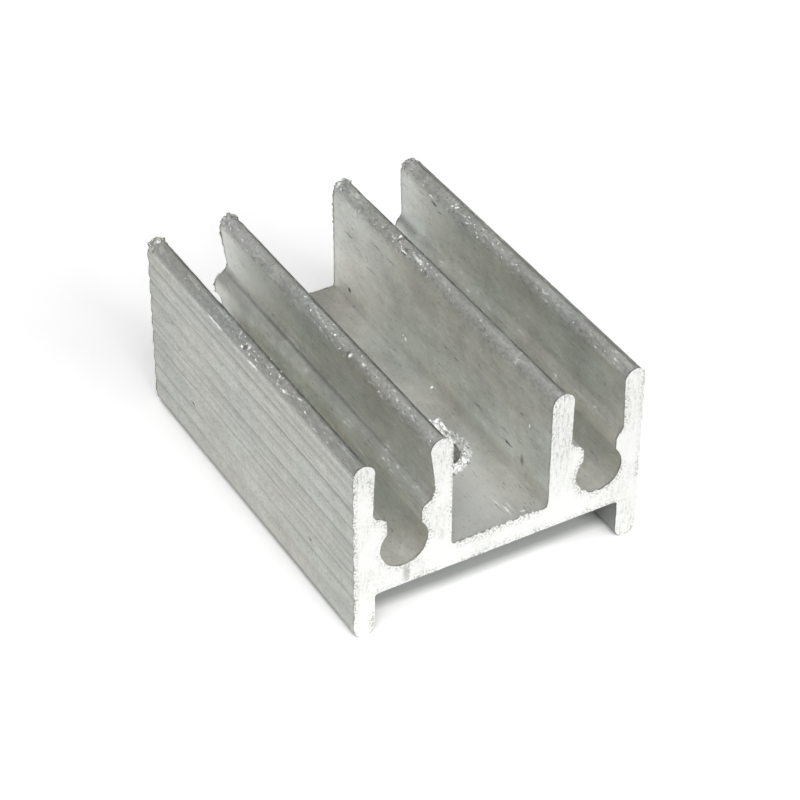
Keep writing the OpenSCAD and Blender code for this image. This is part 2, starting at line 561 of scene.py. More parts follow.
def cut_hole(bm):
    """Opens the web and lines the hole with burr and thread, as material 2."""
    bm.normal_update()
    top_border = open_patch(bm, web_top, 1)
    low_border = open_patch(bm, web_low, -1)
    rings = [[bm.verts.new(co) for co in ring] for ring in hole_rings()]
    for ring, following in zip(rings[:-1], rings[1:]):
        for k in range(HOLE_SIDES):
            n = (k + 1) % HOLE_SIDES
            face = bm.faces.new((ring[k], ring[n], following[n], following[k]))
            face.material_index = 2
    for ring, border in ((rings[0], top_border), (rings[-1], low_border)):
        edges = [bm.edges.get((ring[k], ring[(k + 1) % HOLE_SIDES])) for k in range(HOLE_SIDES)]
        for face in bmesh.ops.bridge_loops(bm, edges=edges + border)["faces"]:
            face.material_index = 0


SHARP_EDGE = 32        # a greater angle between faces is shaded as an edge


def make_body(materials):
    """The finished skin as an object; the materials are for the mill skin, the ends and the hole."""
    bm = body_mesh()
    cut_hole(bm)
    bmesh.ops.recalc_face_normals(bm, faces=bm.faces)
    bmesh.ops.scale(bm, vec=(MM, MM, MM), verts=bm.verts)
    mesh = bpy.data.meshes.new("heat_sink_skin")
    bm.to_mesh(mesh)
    bm.free()
    for material in materials:
        mesh.materials.append(material)
    mesh.shade_smooth()
    mesh.set_sharp_from_angle(angle=math.radians(SHARP_EDGE))
    piece = bpy.data.objects.new("heat_sink_skin", mesh)
    bpy.context.collection.objects.link(piece)
    return piece


# ------------------------------------------------------------ materials ----
FACET = (-0.36, -0.56, 0.75)   # the way that small bright nicks face
METALLIC = 0.85


class Nodes:
    """Small helper that builds one node material."""

    def __init__(self, name):
        self.material = bpy.data.materials.new(name)
        self.material.use_nodes = True
        self.tree = self.material.node_tree
        self.tree.nodes.clear()

    def add(self, kind, inputs=(), **settings):
        """A new node, with each input set to a value or linked to another node's output."""
        node = self.tree.nodes.new(kind)
        for key, value in settings.items():
            setattr(node, key, value)
        for key, value in dict(inputs).items():
            if isinstance(value, bpy.types.NodeSocket):
                self.tree.links.new(value, node.inputs[key])
            else:
                node.inputs[key].default_value = value
        return node

    def surface(self, shader):
        """The material, finished with a shader's output."""
        self.add("ShaderNodeOutputMaterial", {"Surface": shader})
        return self.material

    def coords(self, scale=(1, 1, 1)):
        """Object coordinates in mm, times scale."""
        place = self.add("ShaderNodeTexCoord").outputs["Object"]
        inputs = {"Vector": place, "Scale": [s / MM for s in scale]}
        return self.add("ShaderNodeMapping", inputs).outputs["Vector"]

    def place(self):
        """X, Y and Z of the shaded point in mm."""
        return self.add("ShaderNodeSeparateXYZ", {0: self.coords()}).outputs

    def normal_x(self):
        """How far the surface faces +X, in the part's own frame."""
        normal = self.add("ShaderNodeTexCoord").outputs["Normal"]
        return self.add("ShaderNodeSeparateXYZ", {0: normal}).outputs["X"]

    def attribute(self, name):
        """A value that the mesh's vertices carry."""
        return self.add("ShaderNodeAttribute", attribute_name=name).outputs["Fac"]

    def noise(self, scale, detail, roughness):
        """Smooth noise from 0 to 1, mostly near 0.5; scale is in waves per mm along X, Y and Z."""
        inputs = {"Scale": 1.0, "Detail": detail, "Roughness": roughness, "Vector": self.coords(scale)}
        return self.add("ShaderNodeTexNoise", inputs).outputs["Fac"]

    def vector(self, operation, a, b):
        """One sum with two vectors, each a value or an output."""
        return self.add("ShaderNodeVectorMath", {0: a, 1: b}, operation=operation).outputs["Vector"]

    def scaled(self, vector, scale):
        """A vector or colour times a number or an output."""
        inputs = {0: vector, "Scale": scale}
        return self.add("ShaderNodeVectorMath", inputs, operation="SCALE").outputs["Vector"]

    def wobbled(self, scale, reach):
        """The place in mm, shifted by noise so that marks have uneven edges."""
        waves = self.add("ShaderNodeTexNoise", {"Scale": 1.0, "Vector": self.coords((scale, scale, scale))})
        centred = self.vector("SUBTRACT", waves.outputs["Color"], (0.5, 0.5, 0.5))
        return self.vector("ADD", self.coords(), self.scaled(centred, reach))

    def ramp(self, source, low_at, high_at, low_value=0.0, high_value=1.0):
        """From low_value to high_value while the source goes from low_at to high_at, and flat beyond."""
        keys = ("Value", "From Min", "From Max", "To Min", "To Max")
        inputs = zip(keys, (source, low_at, high_at, low_value, high_value))
        return self.add("ShaderNodeMapRange", inputs, clamp=True).outputs["Result"]

    def math(self, operation, a, b):
        """One sum with two values, each a number or an output."""
        return self.add("ShaderNodeMath", {0: a, 1: b}, operation=operation).outputs["Value"]

    def times(self, first, *others):
        """The product of several values."""
        for other in others:
            first = self.math("MULTIPLY", first, other)
        return first

    def most(self, first, *others):
        """The largest of several values."""
        for other in others:
            first = self.math("MAXIMUM", first, other)
        return first

    def spot(self, vector, centre, radii):
        """1 in the middle of an ellipsoid given in mm, fading to 0 at its surface."""
        inputs = {"Vector": vector, "Scale": [1 / r for r in radii],
                  "Location": [-c / r for c, r in zip(centre, radii)]}
        place = self.add("ShaderNodeMapping", inputs).outputs["Vector"]
        away = self.add("ShaderNodeVectorMath", {0: place}, operation="LENGTH").outputs["Value"]
        return self.ramp(away, 1.0, 0.35)

    def spots(self, vector, marks):
        """The strongest of several spots, each (centre, radii, strength)."""
        total = 0.0
        for centre, radii, strength in marks:
            total = self.most(self.times(self.spot(vector, centre, radii), strength), total)
        return total

    def stripes(self, source, lines):
        """Soft lines across a value from 0 to height: (where, half width, strength) each."""
        node = self.add("ShaderNodeValToRGB", {"Fac": self.math("DIVIDE", source, float(height))})
        stops = node.color_ramp.elements
        stops[0].position, stops[1].position = 0.0, 1.0
        stops[0].color = stops[1].color = (0, 0, 0, 1)
        for where, half, strength in lines:
            for offset, level in ((-half, 0.0), (0.0, strength), (half, 0.0)):
                stops.new((where + offset) / height).color = (level, level, level, 1)
        return node.outputs["Color"]

    # A Mix node's inputs go by number: 0 is the factor, 4 and 5 take vectors, 6 and 7 colours.
    def mix(self, factor, a, b):
        """Colour a, turning into colour b where factor is 1."""
        a, b = ((*color, 1.0) if isinstance(color, tuple) else color for color in (a, b))
        return self.add("ShaderNodeMix", {0: factor, 6: a, 7: b}, data_type="RGBA").outputs[2]

    def painted(self, color, layers):
        """A colour with layers of others over it: (how much, which colour) each."""
        for amount, paint in layers:
            color = self.mix(amount, color, paint)
        return color

    def shade(self, color, *parts):
        """Multiplies a colour by 1 plus each noise's swing about its middle, times its weight."""
        total = 1.0
        for noise_value, weight in parts:
            total = self.math("ADD", self.times(self.math("SUBTRACT", noise_value, 0.5), weight), total)
        return self.scaled(color, total)

    def bump(self, relief, strength, distance, normal=None):
        """The normal bent by a relief; distance is its depth in mm."""
        inputs = {"Strength": strength, "Distance": distance * MM, "Height": relief}
        if normal:
            inputs["Normal"] = normal
        return self.add("ShaderNodeBump", inputs).outputs["Normal"]

    def facet(self, normal, amount):
        """The normal turned up and to the front where amount is 1, as on the lit side of a small nick."""
        return self.add("ShaderNodeMix", {0: amount, 4: normal, 5: FACET}, data_type="VECTOR").outputs[1]

    def metal(self, color, roughness, normal, metallic=METALLIC):
        """The finished material; metallic may be a number or an output."""
        inputs = {"Base Color": color, "Roughness": roughness, "Normal": normal, "Metallic": metallic}
        return self.surface(self.add("ShaderNodeBsdfPrincipled", inputs).outputs["BSDF"])


# Colours, as linear red, green and blue.
SKIN_COOL = (0.783, 0.812, 0.775)
SKIN_WARM = (0.828, 0.817, 0.765)
# The dull colour also paints shade: over the outer faces, low in the grooves and under the ledges.
SKIN_DULL_AND_SHADE = (0.44, 0.447, 0.412)
# The dark colour also paints shade: in the rib hollows and lines, under the left inner fin's waist, on the
# tips' far sides and at the skin's rims by the sawn ends.
SKIN_DARK = (0.16, 0.16, 0.15)
# Painted shade under the web and on the feet's inner sides.
UNDER_WEB_SHADE = (0.33, 0.34, 0.325)
FRESH_CUT = (0.885, 0.89, 0.865)
SMEARED_CUT = (0.52, 0.53, 0.50)
# Crumbled burr with painted shade, along the edges of the sawn ends.
CRUMBLED_SHADED_CUT = (0.33, 0.33, 0.31)
TORN_DULL = (0.5, 0.5, 0.48)
TORN_BRIGHT = (0.94, 0.945, 0.93)

# Noise: waves per mm along X, Y and Z, detail, roughness.
STAIN = ((0.30, 0.16, 0.30), 2, 0.5)
CLOUD = ((0.75, 0.4, 0.75), 2, 0.5)
MOTTLE = ((1.9, 1.2, 1.9), 4, 0.65)
DRIFT = ((0.6, 0.5, 0.6), 2, 0.5)
DIE_LINES = ((4.5, 0.07, 4.5), 3, 0.6)
FINE_LINES = ((14, 0.35, 14), 3, 0.6)
GRAIN = ((9, 7, 9), 3, 0.65)
TIP_GRAIN = ((5.5, 3.5, 5.5), 3, 0.65)
SCRATCHES = ((8, 0.9, 8), 2, 0.5)
SCRATCHED_AREAS = ((0.5, 0.3, 0.5), 2, 0.5)
SCUFFS = ((9, 0.8, 9), 3, 0.6)
SCUFFED_AREAS = ((0.45, 0.35, 0.45), 2, 0.5)
DASHES = ((11, 2.2, 11), 2, 0.6)
SPECKS = ((9, 7, 9), 2, 0.6)
PITS = ((10, 8, 10), 2, 0.6)
SAW_LINES = ((9, 1, 0.9), 3, 0.6)
SAW_PATCHES = ((0.6, 1, 0.45), 2, 0.5)
SAW_TEARS = ((8, 1, 3), 3, 0.6)
SAW_NICKS = ((11, 1, 8), 2, 0.6)
CRUMBS = ((8, 8, 8), 3, 0.65)
TORN = ((7, 7, 7), 4, 0.65)
CRACKS = ((5, 5, 7), 3, 0.7)

TIP_FROM = 9.2         # height where a fin's rounded tip begins
RUB_FROM = 0.0         # y from which the skin is rubbed more
RUB_FULL = 6.0         # y where that is full
UNDER_HALF = 6.6       # from the middle to the inside of a foot
RIM_SHADOW = 0.14      # how far the painted shade of a rim reaches in from a sawn end



def on_face(x, depth, marks):
    """Marks on an upright face at x, each given as y, z, half length, half height and strength."""
    return [((x, y, z), (depth, half_y, half_z), strength) for y, z, half_y, half_z, strength in marks]


# Marks of wear: centre, radii and strength. Their places were read off the photograph, their sizes and
# strengths set one by one.
DARK_MARKS = (
    *on_face(-7.45, 0.4, (
        (5.84, 2.6, 0.26, 0.12, 0.9), (6.7, 2.5, 0.1, 0.08, 0.6), (-5.9, 2.83, 0.2, 0.12, 0.8),
        (7.1, 5.15, 0.3, 0.1, 0.35), (7.7, 6.2, 0.2, 0.1, 0.35),
    )),
    ((2.6, 8.41, 4.12), (0.4, 0.22, 0.17), 1.0),
    *on_face(2.6, 0.3, (
        (-0.84, 6.56, 0.16, 0.08, 0.6), (-1.83, 6.5, 0.3, 0.05, 0.7), (-3.8, 5.1, 0.45, 0.09, 0.5),
        (-6.5, 4.75, 0.42, 0.1, 1.0), (-7.7, 4.6, 0.18, 0.4, 0.6), (-7.5, 7.16, 0.2, 0.06, 0.6),
        (-6.1, 5.3, 0.5, 0.12, 0.25), (8.37, 7.44, 0.6, 0.06, 0.6), (7.6, 7.1, 0.5, 0.05, 0.4),
        (6.28, 6.62, 0.5, 0.05, 0.6), (5.8, 8.34, 0.7, 0.05, 0.6), (4.3, 8.3, 0.5, 0.06, 0.5),
    )),
    *on_face(6.46, 0.3, (
        (6.75, 9.0, 0.36, 0.13, 0.75), (6.2, 8.75, 0.35, 0.07, 0.7), (8.0, 8.94, 0.5, 0.07, 0.4),
    )),
    ((2.8, 3.2, 9.5), (0.3, 0.3, 0.2), 0.6),
    ((2.95, 4.1, 9.7), (0.4, 0.16, 0.2), 0.5),
    ((-3.5, -2.45, 9.5), (0.3, 0.2, 0.16), 0.6),
    ((-7.3, 0.25, 9.55), (0.3, 0.13, 0.12), 0.7),
)
PALE_MARKS = (
    *on_face(-7.45, 0.3, (
        (3.0, 9.25, 1.5, 0.1, 1.0), (-0.7, 9.25, 1.0, 0.1, 1.0), (4.0, 7.55, 1.4, 0.03, 0.45),
        (0.96, 7.19, 0.25, 0.05, 0.6), (-3.5, 9.3, 1.2, 0.05, 0.5),
    )),
    ((-7.32, -3.5, 9.57), (0.3, 0.25, 0.06), 0.8),
    ((-7.35, 0.45, 9.5), (0.3, 0.16, 0.1), 1.0),
    ((-7.3, 0.05, 9.62), (0.3, 0.12, 0.08), 1.0),
    ((-7.08, -4.5, 9.68), (0.1, 0.25, 0.2), 0.6),
    ((2.62, 2.87, 4.65), (0.3, 0.14, 0.11), 1.0),
    ((2.62, 3.1, 4.75), (0.3, 0.11, 0.08), 1.0),
    ((2.5, 0.22, 3.5), (0.2, 0.07, 0.07), 0.9),
    ((2.6, -8.16, 6.9), (0.3, 0.1, 0.15), 0.9),
    ((0.74, -8.5, 3.45), (0.06, 0.6, 0.3), 0.4),
    ((0.9, -9.2, 3.45), (0.09, 0.5, 0.3), 0.5),
    ((1.15, -9.0, 3.45), (0.06, 0.5, 0.3), 0.35),
    ((1.5, -9.6, 3.45), (0.25, 0.1, 0.3), 0.5),
    ((2.75, 3.3, 9.52), (0.2, 0.4, 0.06), 0.9),
    ((2.9, 2.2, 9.63), (0.1, 0.6, 0.1), 0.7),
    ((3.1, 4.2, 9.7), (0.2, 0.12, 0.2), 0.9),
    ((6.5, 7.0, 9.25), (0.2, 0.5, 0.08), 0.9),
    ((6.46, 7.2, 8.7), (0.2, 0.8, 0.07), 0.8),
    ((6.46, 7.7, 8.45), (0.2, 0.7, 0.06), 0.7),
    ((-3.48, 5.4, 7.95), (0.3, 0.8, 0.09), 0.35),
    ((-3.6, 6.9, 8.6), (0.3, 1.3, 0.2), 0.25),
    ((-3.35, -3.6, 9.62), (0.1, 0.2, 0.12), 0.7),
    ((-3.5, -2.6, 9.5), (0.3, 0.12, 0.12), 0.9),
)

# Lines along the ribbed outer faces, painted shade and highlights of the ribs with die lines among them:
# height up the face, half width, strength.
RIB_SHADE_AND_DIE_LINES = ((1.5, 0.07, 0.15), (2.45, 0.07, 0.3), (3.8, 0.09, 0.55), (4.8, 0.09, 0.45), (5.2, 0.25, 0.1),
              (6.3, 0.05, 0.3), (7.3, 0.07, 0.45), (7.7, 0.05, 0.4), (8.5, 0.06, 0.3), (8.82, 0.22, 0.28))
RIB_HIGHLIGHT_AND_DIE_LINES = ((2.1, 0.16, 0.2), (4.1, 0.16, 0.15), (7.02, 0.14, 0.25), (8.0, 0.2, 0.3), (9.17, 0.1, 0.7))
LEDGE_SHADOW = ((-3.6, 2.0, 6.53), (0.5, 12.0, 0.08))   # painted shadow line under the left inner fin's waist

# Where specks and pits crowd on the fin tips.
SPECK_PATCHES = (
    ((-7.0, -1.0, 9.6), (1.0, 6.0, 0.8), 0.5),
    ((-3.1, -0.5, 9.6), (1.0, 6.5, 0.8), 0.55),
    ((3.1, 3.5, 9.6), (1.0, 4.5, 0.8), 0.8),
    ((6.9, 4.5, 9.6), (1.0, 4.0, 0.8), 0.75),
)

# Broad areas of painted shade, low in the grooves, along the right inner fin's foot, under the ledges and
# over the left inner fin's groove side, and broad pale areas of the skin.
SHADE_PATCHES = (
    ((2.65, -2.5, 3.85), (0.5, 9.0, 0.55), 0.35),
    ((-3.9, -8.0, 4.4), (0.9, 8.0, 1.1), 0.35),
    ((6.2, -8.0, 4.5), (0.9, 8.0, 1.6), 0.45),
    ((-3.6, 0.0, 6.7), (0.5, 11.0, 0.3), 0.3),
    ((-3.7, -6.0, 7.2), (0.7, 10.0, 3.2), 0.2),
    ((6.5, -3.0, 6.8), (0.5, 9.0, 0.3), 0.2),
)
PALE_PATCHES = (
    ((-0.6, -6.5, 3.45), (3.3, 12.0, 0.7), 0.65),
    ((-3.5, 8.8, 8.3), (0.8, 6.5, 2.6), 0.75),
    ((2.6, 8.0, 5.8), (0.6, 7.0, 2.8), 0.16),
    ((6.45, 7.5, 8.2), (0.6, 6.0, 2.0), 0.14),
)

# Where the sawn front shows the saw most.
SAW_MARKS = (
    ((-7.0, low[1], 9.1), (0.9, 1.0, 0.9), 0.9),
    ((3.15, low[1], 7.2), (0.8, 1.0, 3.6), 0.8),
    ((6.9, low[1], 8.0), (0.9, 1.0, 3.2), 0.35),
    ((-3.1, low[1], 8.6), (0.7, 1.0, 1.6), 0.6),
    ((-3.1, low[1], 4.4), (0.4, 1.0, 0.5), 0.6),
    ((6.9, low[1], 1.0), (0.9, 1.0, 1.8), 0.45),
)
SAW_SMEAR = (((-4.83, low[1], 2.85), (0.24, 1.0, 0.75), 1.0),)


class MillFinish(Nodes):
    """Dull extruded skin: die lines along Y, stains, grain, small marks and knocked fin tips, with painted
    shade and highlights in places.
    """

    def __init__(self):
        super().__init__("mill_finish")
        self.x, self.y, self.z = self.place()
        self.facing = self.normal_x()
        self.off_middle = self.math("ABSOLUTE", self.x, 0)
        self.rugged = self.wobbled(4.0, 0.22)
        self.cloud = self.noise(*CLOUD)
        self.mottle = self.noise(*MOTTLE)
        self.lines = self.noise(*DIE_LINES)
        self.fine_lines = self.noise(*FINE_LINES)
        self.grain = self.noise(*GRAIN)
        self.outer_face = self.ramp(self.off_middle, high[0] - 0.4, high[0] - 0.2)
        self.tip = self.ramp(self.z, TIP_FROM, TIP_FROM + 0.2)
        self.tip_near = self.ramp(self.z, TIP_FROM - 0.35, TIP_FROM + 0.1, 0.05, 1.0)
        self.upright = self.ramp(self.z, web_top + 0.15, web_top + 0.9, 0.12, 1.0)
        self.pale_patches = self.spots(self.rugged, PALE_PATCHES)
        self.pale_marks = self.spots(self.rugged, PALE_MARKS)
        self.specks, self.pits = self.specks_and_pits()
        self.bright_dashes, self.dark_dashes = self.dashes()
        self.rubs = self.rubbed_scuffs()

    def specks_and_pits(self):
        """Bright specks and dark pits of the fin tips, in crowds and at the torn back ends."""
        torn_end = self.times(self.ramp(self.y, high[1] - 1.1, high[1] - 0.5),
                              self.ramp(self.z, TIP_FROM - 0.3, TIP_FROM))
        crowds = self.times(self.spots(self.rugged, SPECK_PATCHES),
                            self.ramp(self.cloud, 0.35, 0.55, 0.055, 0.09))
        crowded = self.math("ADD", crowds, self.times(torn_end, 0.06))
        specks = self.ramp(self.math("ADD", self.noise(*SPECKS), crowded), 0.69, 0.71)
        pits = self.ramp(self.math("SUBTRACT", self.noise(*PITS), crowded), 0.33, 0.30)
        return self.times(specks, self.tip_near), self.times(pits, self.tip_near)

    def dashes(self):
        """Short bright and dark dashes along Y, few of the bright ones on the channel floor."""
        dashed = self.noise(*DASHES)
        bright = self.times(self.ramp(dashed, 0.61, 0.65), self.ramp(self.cloud, 0.35, 0.6, 0.25, 1.0))
        dark = self.times(self.ramp(dashed, 0.37, 0.32), self.ramp(self.cloud, 0.65, 0.4, 0.25, 1.0))
        return self.times(bright, self.upright), dark

    def rubbed_scuffs(self):
        """Long pale scuffs along Y, stronger towards the back."""
        scuffs = self.times(self.ramp(self.noise(*SCUFFS), 0.54, 0.62),
                            self.ramp(self.noise(*SCUFFED_AREAS), 0.52, 0.64))
        rubbed = self.times(self.ramp(self.y, RUB_FROM, RUB_FULL, 0.25, 0.75), self.upright)
        return self.times(scuffs, rubbed)

    def base_color(self):
        """Grey metal, warmer in its stains, and uneven at every scale."""
        color = self.mix(self.ramp(self.noise(*STAIN), 0.38, 0.62), SKIN_COOL, SKIN_WARM)
        return self.shade(color, (self.cloud, 0.45), (self.mottle, 0.35), (self.lines, 0.18),
                          (self.fine_lines, 0.1), (self.grain, 0.3))

    def face_layers(self):
        """Painted shade over the outer faces and under the web, a painted highlight on each tip's near
        shoulder, and broad patches, with painted shade in the grooves and under the ledges.
        """
        outer_shade = self.math("ADD", self.ramp(self.mottle, 0.3, 0.7, 0.2, 0.55),
                               self.ramp(self.grain, 0.3, 0.7, -0.1, 0.4))
        shade_under_web = self.times(self.ramp(self.z, web_low + 0.03, web_low - 0.03),
                               self.ramp(self.off_middle, UNDER_HALF + 0.2, UNDER_HALF))
        lit_shoulder = self.times(self.ramp(self.facing, -0.98, -0.8), self.ramp(self.facing, -0.1, -0.45),
                              self.ramp(self.z, TIP_FROM - 0.05, TIP_FROM + 0.15))
        return (
            # Painted shade over the outer faces, uneven with mottle and grain.
            (self.times(self.outer_face, outer_shade), SKIN_DULL_AND_SHADE),
            # Painted shade under the web and on the feet's inner sides.
            (self.times(shade_under_web, 0.9), UNDER_WEB_SHADE),
            (self.pale_patches, FRESH_CUT),
            # A painted highlight, grainy, on the near shoulder of each tip.
            (self.times(lit_shoulder, self.ramp(self.grain, 0.3, 0.7, 0.1, 0.65)), FRESH_CUT),
            # Painted shade low in the grooves, along the right inner fin's foot and under the ledges.
            (self.spots(self.rugged, SHADE_PATCHES), SKIN_DULL_AND_SHADE),
        )

    def line_layers(self):
        """Lines along Y: painted shade in the hollows between ribs, the ribs' painted shade and highlights
        with die lines among them, scratches.
        """
        # Painted shade in the hollows between ribs.
        valley = self.times(self.attribute("valley"), self.ramp(self.lines, 0.4, 0.6, 0.0, 0.4))
        drift = self.times(self.math("SUBTRACT", self.noise(*DRIFT), 0.5), 0.22)
        level = self.math("ADD", self.z, drift)
        broken = self.times(self.outer_face, self.ramp(self.fine_lines, 0.38, 0.58, 0.25, 1.0))
        scratches = self.times(self.ramp(self.noise(*SCRATCHES), 0.67, 0.71),
                               self.ramp(self.noise(*SCRATCHED_AREAS), 0.48, 0.62))
        return (
            (valley, SKIN_DARK),
            # Painted shade and highlights of the ribs, with die lines among them.
            (self.times(self.stripes(level, RIB_SHADE_AND_DIE_LINES), broken), SKIN_DARK),
            (self.times(self.stripes(level, RIB_HIGHLIGHT_AND_DIE_LINES), broken), FRESH_CUT),
            (self.times(scratches, 0.4), SKIN_DARK),
        )

    def edge_layers(self):
        """Painted shade on the far side of each tip and on the skin along the sawn ends' rims."""
        far_edge_shade = self.times(self.ramp(self.facing, 0.36, 0.6), self.ramp(self.z, TIP_FROM - 0.2, TIP_FROM),
                              self.ramp(self.mottle, 0.35, 0.5, 0.45, 0.9))
        end_rim_shade = self.most(self.ramp(self.y, low[1] + RIM_SHADOW, low[1] + 0.03),
                             self.ramp(self.y, high[1] - RIM_SHADOW, high[1] - 0.03))
        return (
            # Painted shade on the far side of each tip.
            (far_edge_shade, SKIN_DARK),
            # Painted shade on the skin along each sawn end.
            (self.times(end_rim_shade, self.ramp(self.mottle, 0.4, 0.6, 0.2, 0.75)), SKIN_DARK),
        )

    def mark_layers(self):
        """Scuffs, dashes, the dull grain and pits of the tips, a painted shadow under the left inner fin's
        waist, and the marks placed one by one.
        """
        tip_grain = self.times(self.ramp(self.noise(*TIP_GRAIN), 0.58, 0.36), self.tip_near)
        tip_dull = self.times(self.tip, self.ramp(self.facing, -0.75, -0.4),
                              self.ramp(self.x, -5.5, -6.5, 0.06, 0.2))
        # A painted shadow line under the left inner fin's waist.
        ledge_shadow = self.times(self.spot(self.coords(), *LEDGE_SHADOW),
                           self.ramp(self.fine_lines, 0.3, 0.6, 0.2, 0.5))
        return (
            (self.rubs, FRESH_CUT),
            (self.times(self.bright_dashes, 0.5), FRESH_CUT),
            (self.times(self.dark_dashes, 0.36), SKIN_DARK),
            (self.times(tip_grain, 0.33), SKIN_DULL_AND_SHADE),
            (tip_dull, SKIN_DULL_AND_SHADE),
            (self.times(self.pits, 0.6), SKIN_DARK),
            (ledge_shadow, SKIN_DARK),
            (self.spots(self.rugged, DARK_MARKS), SKIN_DARK),
            (self.times(self.specks, 0.85), FRESH_CUT),
            (self.pale_marks, FRESH_CUT),
        )

    def relief(self):
        """Die lines, grain, specks and pits."""
        normal = self.bump(self.lines, 0.4, 0.012)
        normal = self.bump(self.fine_lines, 0.3, 0.003, normal)
        normal = self.bump(self.grain, 0.4, 0.005, normal)
        return self.bump(self.math("SUBTRACT", self.specks, self.pits), 0.9, 0.03, normal)

    def finished(self):
        """The material; where the metal is bare it is smoother, less metallic and turned by FACET."""
        layers = self.face_layers() + self.line_layers() + self.edge_layers() + self.mark_layers()
        color = self.painted(self.base_color(), layers)
        bare = self.most(self.specks, self.pale_marks, self.times(self.bright_dashes, 0.5),
                         self.times(self.pale_patches, 0.22), self.times(self.rubs, 0.7))
        rough = self.math("ADD", self.ramp(self.lines, 0.3, 0.7, 0.57, 0.62),
                          self.ramp(self.grain, 0.3, 0.7, -0.03, 0.04))
        rough = self.math("ADD", rough, self.times(self.tip, 0.08))
        rough = self.math("SUBTRACT", rough, self.times(bare, 0.2))
        metallic = self.math("SUBTRACT", METALLIC, self.times(bare, 0.6))
        return self.metal(color, rough, self.facet(self.relief(), bare), metallic)


def sawn_finish():
    """Fresh bright metal with a few saw marks, a grey smear and, in places, a darker ragged rim of crumbled
    burr and painted shade.
    """
    n = Nodes("sawn_end")
    rugged = n.wobbled(3.0, 0.25)
    saw_lines = n.noise(*SAW_LINES)
    crumbs = n.noise(*CRUMBS)
    patches = n.noise(*SAW_PATCHES)
    marked = n.most(n.spots(rugged, SAW_MARKS), n.ramp(patches, 0.5, 0.62, 0.0, 0.3))
    streaks = n.times(n.ramp(saw_lines, 0.53, 0.58), marked)
    tears = n.times(n.ramp(n.noise(*SAW_TEARS), 0.57, 0.61), marked)
    nicks = n.times(n.ramp(n.noise(*SAW_NICKS), 0.60, 0.66), n.ramp(patches, 0.42, 0.6, 0.12, 1.0))
    smear = n.times(n.spots(rugged, SAW_SMEAR), n.ramp(crumbs, 0.35, 0.5, 0.4, 1.0))
    # Crumbled burr with painted shade along the edges.
    crumbled_and_shaded = n.times(n.ramp(crumbs, 0.5, 0.56), n.attribute("near_edge"),
                       n.ramp(patches, 0.42, 0.55, 0.15, 1.0))
    color = n.painted(n.mix(n.times(marked, 0.22), FRESH_CUT, SMEARED_CUT), (
        (n.times(streaks, 0.65), SMEARED_CUT),
        (n.times(tears, 0.8), SKIN_DULL_AND_SHADE),
        (n.times(nicks, 0.55), SKIN_DULL_AND_SHADE),
        (n.times(smear, 0.85), SKIN_DULL_AND_SHADE),
        (n.times(crumbled_and_shaded, 0.9), CRUMBLED_SHADED_CUT),
    ))
    rough = n.ramp(saw_lines, 0.3, 0.7, 0.45, 0.55)
    normal = n.bump(saw_lines, 0.3, 0.006)
    normal = n.bump(crumbs, 0.35, 0.01, normal)
    return n.metal(color, rough, normal)


def torn_finish():
    """Bright torn metal of the tapped hole and its burr, with painted shade deeper down the thread."""
    n = Nodes("cut_thread")
    z = n.place()["Z"]
    torn = n.noise(*TORN)
    tall = n.ramp(z, web_top + 0.2, web_top + 0.4)
    cracks = n.times(n.ramp(n.noise(*CRACKS), 0.45, 0.40), n.math("SUBTRACT", 1.0, n.times(tall, 0.5)))
    color = n.painted(n.mix(n.ramp(torn, 0.42, 0.52), TORN_DULL, TORN_BRIGHT), (
        (n.times(cracks, 0.8), SKIN_DARK),
        # Painted shade deeper down the thread.
        (n.ramp(z, web_top, web_top - 0.3, 0.0, 0.7), SKIN_DULL_AND_SHADE),
    ))
    rough = n.ramp(torn, 0.3, 0.7, 0.35, 0.5)
    flake = n.times(tall, n.ramp(torn, 0.38, 0.46, 0.2, 0.85))
    normal = n.facet(n.bump(torn, 0.8, 0.05), flake)
    return n.metal(color, rough, normal, metallic=0.2)


# ---------------------------------------------------------------- stage ----
FLOOR_COLOR = (0.82, 0.82, 0.82)
FLOOR_SHADE = (0.53, 0.55, 0.54)   # painted shadow, deep under the web
FLOOR_GLOW = 0.42
FLOOR_HALF = 3.0       # m
FLOOR_DROP = 0.00001   # m, so that the feet stand clear of it
SHADE_REACH = 3.5      # how far from the part the glow fades
SHADE_SAMPLES = 16
DEEP_FROM, DEEP_FULL = 0.95, 1.6   # from the front end, where the deep shade begins and is full
DEEP_SLANT = 0.06      # how much further back it begins for each mm to the left of FREER_FROM
FREER_FROM = -2.0
DEEP_SIDE, DEEP_BACK = 0.8, 1.5   # from the sides and the back, where it is full


def deep_shade(n):
    """Painted shadow: 1 on the paper well under the web, where little light comes; the left front is freer of
    it.
    """
    x, y, _ = n.place()
    slant = n.times(n.math("MINIMUM", n.math("ADD", x, -FREER_FROM), 0.0), DEEP_SLANT)
    behind_front = n.ramp(n.math("ADD", y, slant), low[1] + DEEP_FROM, low[1] + DEEP_FULL)
    within = n.times(n.ramp(n.math("ABSOLUTE", x, 0), high[0], high[0] - DEEP_SIDE),
                     n.ramp(y, high[1], high[1] - DEEP_BACK))
    return n.times(behind_front, within)


